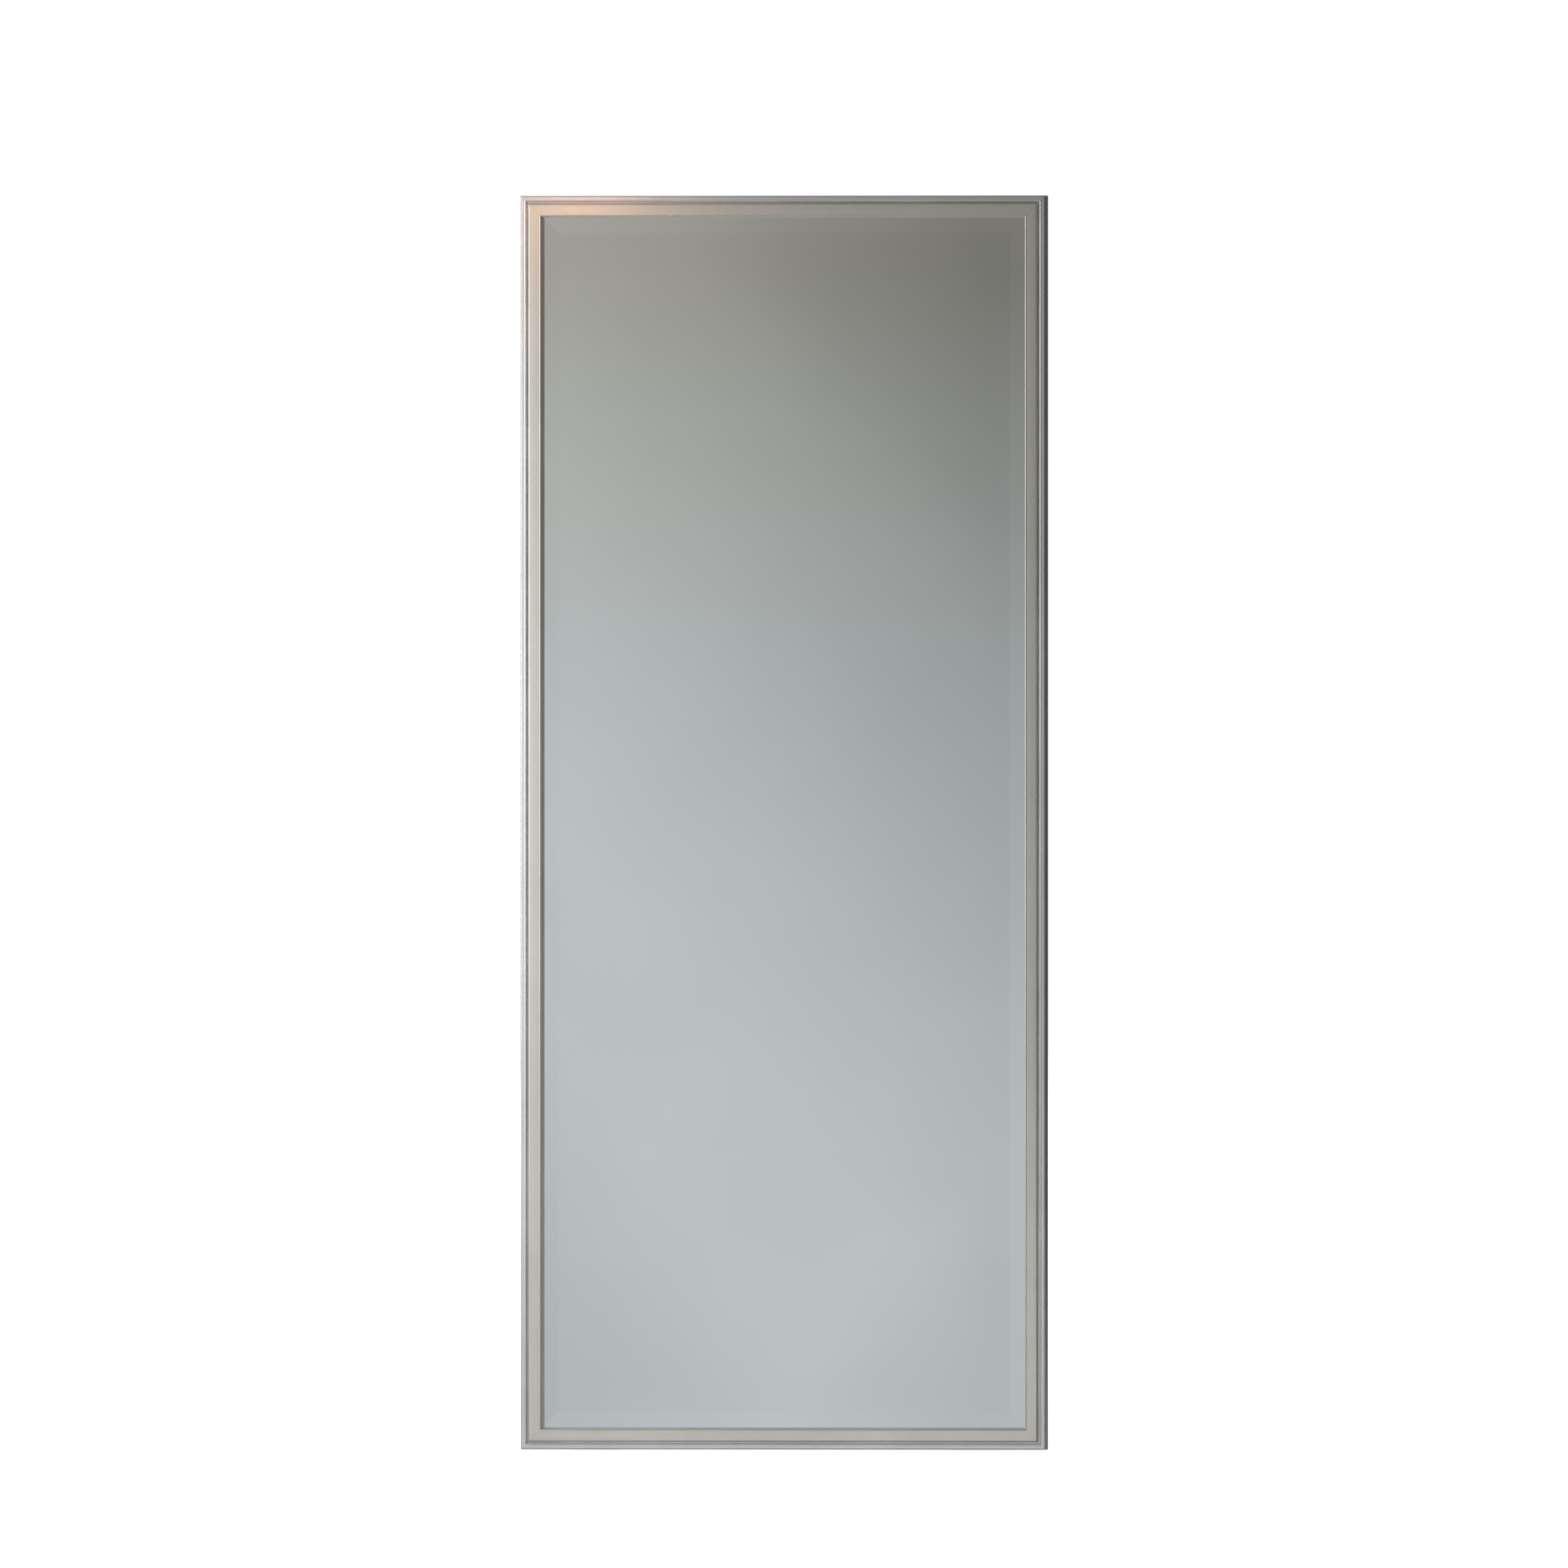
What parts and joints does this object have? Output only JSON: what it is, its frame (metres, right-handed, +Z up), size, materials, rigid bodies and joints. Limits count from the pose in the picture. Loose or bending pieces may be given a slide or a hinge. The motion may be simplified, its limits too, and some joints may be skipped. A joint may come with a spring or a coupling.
{
  "type": "floor mirror",
  "caption": "Full-length bevelled mirror in a slim stepped moulding, leaning back on a folding strut with slotted stays.",
  "frame": {"origin": "on the floor, at the middle of the footprint of the whole mirror with its strut open", "axes": "+Z up; the mirror faces -Y and leans back, towards +Y, by 8 degrees; +X to the right of a person facing it"},
  "size_m": [0.65, 0.362, 1.5326],
  "materials": {
    "moulding": "satin",
    "mirror": "polished",
    "card": "matte",
    "board": "matte",
    "timber": "satin",
    "zinc": "satin",
    "rubber": "matte"
  },
  "bodies": {
    "mirror_frame": {"top_rail": "moulding", "bottom_rail": "moulding", "left_stile": "moulding", "right_stile": "moulding", "mirror_glass": "mirror", "card_liner": "card", "backing_board": "board", "hinge_batten": "timber", "stay_batten": "timber", "hinge_batten_screw_1": "zinc", "hinge_batten_screw_2": "zinc", "hinge_batten_screw_3": "zinc", "hinge_batten_screw_4": "zinc", "stay_batten_screw_1": "zinc", "stay_batten_screw_2": "zinc", "lower_left_corner_plate": "zinc", "lower_right_corner_plate": "zinc", "upper_left_corner_plate": "zinc", "upper_right_corner_plate": "zinc", "left_hinge_frame_leaf": "zinc", "left_hinge_pin": "zinc", "left_frame_leaf_screw_1": "zinc", "left_frame_leaf_screw_2": "zinc", "left_stay_bracket": "zinc", "left_bracket_screw_1": "zinc", "left_bracket_screw_2": "zinc", "left_stay_pivot": "zinc", "left_frame_foot": "rubber", "right_hinge_frame_leaf": "zinc", "right_hinge_pin": "zinc", "right_frame_leaf_screw_1": "zinc", "right_frame_leaf_screw_2": "zinc", "right_stay_bracket": "zinc", "right_bracket_screw_1": "zinc", "right_bracket_screw_2": "zinc", "right_stay_pivot": "zinc", "right_frame_foot": "rubber"},
    "strut": {"strut_top_rail": "timber", "strut_lower_rail": "timber", "left_strut_leg": "timber", "left_strut_foot": "rubber", "left_hinge_strut_leaf": "zinc", "left_strut_leaf_screw_1": "zinc", "left_strut_leaf_screw_2": "zinc", "left_stay_track": "zinc", "left_track_screw_1": "zinc", "left_track_screw_2": "zinc", "right_strut_leg": "timber", "right_strut_foot": "rubber", "right_hinge_strut_leaf": "zinc", "right_strut_leaf_screw_1": "zinc", "right_strut_leaf_screw_2": "zinc", "right_stay_track": "zinc", "right_track_screw_1": "zinc", "right_track_screw_2": "zinc"},
    "left_stay": {"left_stay_arm": "zinc", "left_slide_pin": "zinc"},
    "right_stay": {"right_stay_arm": "zinc", "right_slide_pin": "zinc"}
  },
  "joints": [
    {"name": "strut_fold", "type": "hinge", "parent": "mirror_frame", "child": "strut", "pos_m": [0, 0.0327, 1.13608], "axis": [-1, 0, 0], "range_deg": [0, 15.6]},
    {"name": "left_stay_swing", "type": "hinge", "parent": "mirror_frame", "child": "left_stay", "pos_m": [0, -0.03788, 0.73879], "axis": [-1, 0, 0], "range_deg": [0, 55.1]},
    {"name": "right_stay_swing", "type": "hinge", "parent": "mirror_frame", "child": "right_stay", "pos_m": [0, -0.03788, 0.73879], "axis": [-1, 0, 0], "range_deg": [0, 55.1]}
  ],
  "couplings": [
    {"joint": "left_stay_swing", "follows": "strut_fold", "ratio": 3.5256},
    {"joint": "right_stay_swing", "follows": "strut_fold", "ratio": 3.5256}
  ]
}
